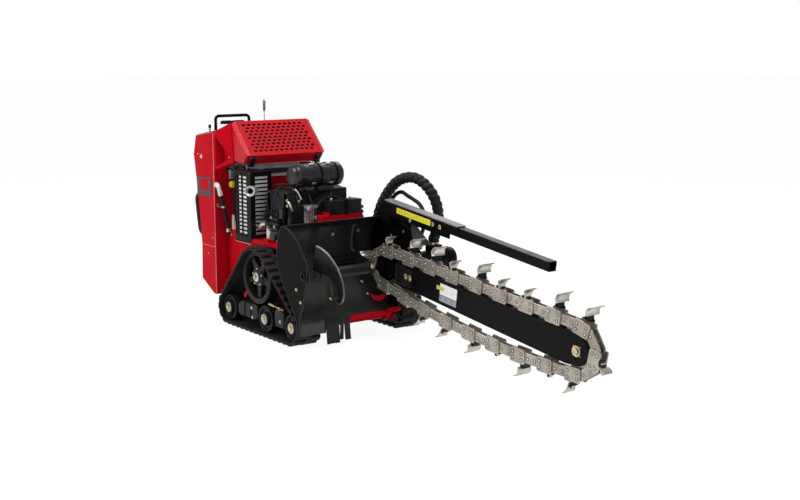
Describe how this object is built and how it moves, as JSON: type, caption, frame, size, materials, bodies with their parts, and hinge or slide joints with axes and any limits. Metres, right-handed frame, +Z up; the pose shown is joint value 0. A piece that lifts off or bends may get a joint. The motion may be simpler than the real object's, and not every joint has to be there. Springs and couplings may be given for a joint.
{
  "type": "walk-behind tracked trencher",
  "caption": "Red walk-behind tracked trencher with a digging chain on a boom, a spoil auger, a safety bar, an engine and a control console.",
  "frame": {"origin": "centre of the base of the bounding box, on the ground under the tracks", "axes": "+Z up, +X forwards along the digging boom, +Y to the machine's left; the boom lies raised at rest"},
  "size_m": [3.1352, 0.985, 1.257],
  "materials": {
    "red_paint": "gloss",
    "black_paint": "satin",
    "rubber": "matte",
    "grey_steel": "satin",
    "chrome": "polished",
    "aluminium": "satin",
    "zinc": "satin",
    "yellow": "satin",
    "black_plastic": "satin"
  },
  "bodies": {
    "chassis": {"track_belt_right": "rubber", "track_frame_right": "black_paint", "track_belt_left": "rubber", "track_frame_left": "black_paint", "chassis_frame": "red_paint", "deck_plate": "red_paint", "tower_shell": "red_paint", "rear_panel": "black_paint", "hydraulic_tank": "red_paint", "thigh_pad": "rubber", "control_panel": "black_plastic", "reference_bar": "black_paint", "lever_shaft": "grey_steel", "engine_block": "black_paint", "muffler": "chrome", "muffler_guard": "black_paint", "air_cleaner": "black_plastic", "battery": "black_plastic", "fuel_tank": "black_plastic", "hydraulic_pump": "grey_steel", "dipstick": "yellow", "tower_hose": "rubber", "oil_cooler": "aluminium", "hose_guard": "rubber", "drain_hose": "rubber"},
    "head": {"head_shell": "black_paint", "right_end_plate": "black_paint", "left_side_plate": "black_paint", "head_carrier": "red_paint", "rubber_flap": "rubber", "boom": "black_paint", "nose_bolt": "zinc", "digging_chain": "grey_steel", "safety_bar": "black_paint", "bar_bracket": "black_paint", "boom_mount": "black_paint", "drive_motor": "black_paint"},
    "head_shaft": {"auger": "black_paint", "head_sprocket": "grey_steel"},
    "nose_wheel": {"nose_sprocket": "grey_steel"},
    "lift_barrel": {"lift_cylinder_barrel": "black_paint"},
    "lift_rod": {"lift_cylinder_rod": "chrome"},
    "hood": {"hood": "red_paint"},
    "hood_latch_right": {"hood_latch_right": "rubber"},
    "hood_latch_left": {"hood_latch_left": "rubber"},
    "drive_wheel_right": {"drive_wheel_right": "black_paint"},
    "rear_wheel_right": {"rear_wheel_right": "black_paint"},
    "middle_wheel_right": {"middle_wheel_right": "black_paint"},
    "front_wheel_right": {"front_wheel_right": "black_paint"},
    "drive_wheel_left": {"drive_wheel_left": "black_paint"},
    "rear_wheel_left": {"rear_wheel_left": "black_paint"},
    "middle_wheel_left": {"middle_wheel_left": "black_paint"},
    "front_wheel_left": {"front_wheel_left": "black_paint"},
    "traction_lever": {"traction_lever": "black_paint"},
    "boom_lever": {"boom_lever": "chrome"},
    "trencher_drive_lever": {"trencher_drive_lever": "black_plastic"},
    "parking_brake_lever": {"parking_brake_lever": "black_plastic"},
    "throttle_lever": {"throttle_lever": "black_plastic"},
    "ignition_key": {"ignition_key": "chrome"},
    "choke_knob": {"choke_knob": "black_plastic"}
  },
  "joints": [
    {"name": "head_pitch", "type": "hinge", "parent": "chassis", "child": "head", "pos_m": [-0.26456, -0.0525, 0.097], "axis": [0, 1, 0], "range_deg": [-5, 45], "deforming": ["hose_guard", "drain_hose"]},
    {"name": "head_shaft_spin", "type": "hinge", "parent": "head", "child": "head_shaft", "pos_m": [-0.08556, -0.0525, 0.407], "axis": [0, 1, 0], "continuous": true},
    {"name": "nose_sprocket_spin", "type": "hinge", "parent": "head", "child": "nose_wheel", "pos_m": [1.37946, 0.0275, 0.24008], "axis": [0, 1, 0], "continuous": true},
    {"name": "lift_barrel_tilt", "type": "hinge", "parent": "chassis", "child": "lift_barrel", "pos_m": [-0.68056, -0.0525, 0.14], "axis": [0, 1, 0], "range_deg": [-1, 8.2]},
    {"name": "lift_rod_slide", "type": "slide", "parent": "lift_barrel", "child": "lift_rod", "axis": [0.9657, 0, 0.2595], "range_m": [-0.0122, 0.1035]},
    {"name": "drive_wheel_right_spin", "type": "hinge", "parent": "chassis", "child": "drive_wheel_right", "pos_m": [-0.63656, -0.4155, 0.316], "axis": [0, 1, 0], "continuous": true},
    {"name": "rear_wheel_right_spin", "type": "hinge", "parent": "chassis", "child": "rear_wheel_right", "pos_m": [-0.94156, -0.4155, 0.096], "axis": [0, 1, 0], "continuous": true},
    {"name": "middle_wheel_right_spin", "type": "hinge", "parent": "chassis", "child": "middle_wheel_right", "pos_m": [-0.54256, -0.4155, 0.096], "axis": [0, 1, 0], "continuous": true},
    {"name": "front_wheel_right_spin", "type": "hinge", "parent": "chassis", "child": "front_wheel_right", "pos_m": [-0.26456, -0.4155, 0.096], "axis": [0, 1, 0], "continuous": true},
    {"name": "drive_wheel_left_spin", "type": "hinge", "parent": "chassis", "child": "drive_wheel_left", "pos_m": [-0.63656, 0.3105, 0.316], "axis": [0, 1, 0], "continuous": true},
    {"name": "rear_wheel_left_spin", "type": "hinge", "parent": "chassis", "child": "rear_wheel_left", "pos_m": [-0.94156, 0.3105, 0.096], "axis": [0, 1, 0], "continuous": true},
    {"name": "middle_wheel_left_spin", "type": "hinge", "parent": "chassis", "child": "middle_wheel_left", "pos_m": [-0.54256, 0.3105, 0.096], "axis": [0, 1, 0], "continuous": true},
    {"name": "front_wheel_left_spin", "type": "hinge", "parent": "chassis", "child": "front_wheel_left", "pos_m": [-0.26456, 0.3105, 0.096], "axis": [0, 1, 0], "continuous": true},
    {"name": "hood_open", "type": "hinge", "parent": "chassis", "child": "hood", "pos_m": [-1.21706, -0.0525, 1.0885], "axis": [0, -1, 0], "range_deg": [0, 55]},
    {"name": "hood_latch_right_swing", "type": "hinge", "parent": "hood", "child": "hood_latch_right", "pos_m": [-0.94061, -0.2775, 0.94174], "axis": [0, -1, 0], "range_deg": [0, 80]},
    {"name": "hood_latch_left_swing", "type": "hinge", "parent": "hood", "child": "hood_latch_left", "pos_m": [-0.94061, 0.1725, 0.94174], "axis": [0, -1, 0], "range_deg": [0, 80]},
    {"name": "traction_lever_tilt", "type": "hinge", "parent": "chassis", "child": "traction_lever", "pos_m": [-1.33056, -0.1925, 0.99], "axis": [0, 1, 0], "range_deg": [-20, 20]},
    {"name": "boom_lever_tilt", "type": "hinge", "parent": "chassis", "child": "boom_lever", "pos_m": [-1.33056, 0.0275, 0.99], "axis": [0, 1, 0], "range_deg": [-18, 18]},
    {"name": "trencher_drive_lever_tilt", "type": "hinge", "parent": "chassis", "child": "trencher_drive_lever", "pos_m": [-1.33056, 0.1075, 0.99], "axis": [0, 1, 0], "range_deg": [0, 18]},
    {"name": "parking_brake_lever_tilt", "type": "hinge", "parent": "chassis", "child": "parking_brake_lever", "pos_m": [-1.33056, 0.1825, 0.99], "axis": [0, 1, 0], "range_deg": [0, 18]},
    {"name": "throttle_lever_tilt", "type": "hinge", "parent": "chassis", "child": "throttle_lever", "pos_m": [-1.33056, -0.3475, 0.99], "axis": [0, 1, 0], "range_deg": [-15, 15]},
    {"name": "ignition_key_turn", "type": "hinge", "parent": "chassis", "child": "ignition_key", "pos_m": [-1.39056, 0.2475, 1.06309], "axis": [0, 0, 1], "range_deg": [0, 90]},
    {"name": "choke_knob_pull", "type": "slide", "parent": "chassis", "child": "choke_knob", "axis": [0, 0, 1], "range_m": [0, 0.03]}
  ],
  "couplings": [
    {"joint": "nose_sprocket_spin", "follows": "head_shaft_spin", "ratio": 0.75},
    {"joint": "lift_barrel_tilt", "follows": "head_pitch", "ratio": 0.17755},
    {"joint": "lift_rod_slide", "follows": "head_pitch", "m_per_rad": 0.13024},
    {"joint": "rear_wheel_right_spin", "follows": "drive_wheel_right_spin", "ratio": 1.9437},
    {"joint": "middle_wheel_right_spin", "follows": "drive_wheel_right_spin", "ratio": 1.9437},
    {"joint": "front_wheel_right_spin", "follows": "drive_wheel_right_spin", "ratio": 1.9437},
    {"joint": "rear_wheel_left_spin", "follows": "drive_wheel_left_spin", "ratio": 1.9437},
    {"joint": "middle_wheel_left_spin", "follows": "drive_wheel_left_spin", "ratio": 1.9437},
    {"joint": "front_wheel_left_spin", "follows": "drive_wheel_left_spin", "ratio": 1.9437}
  ]
}
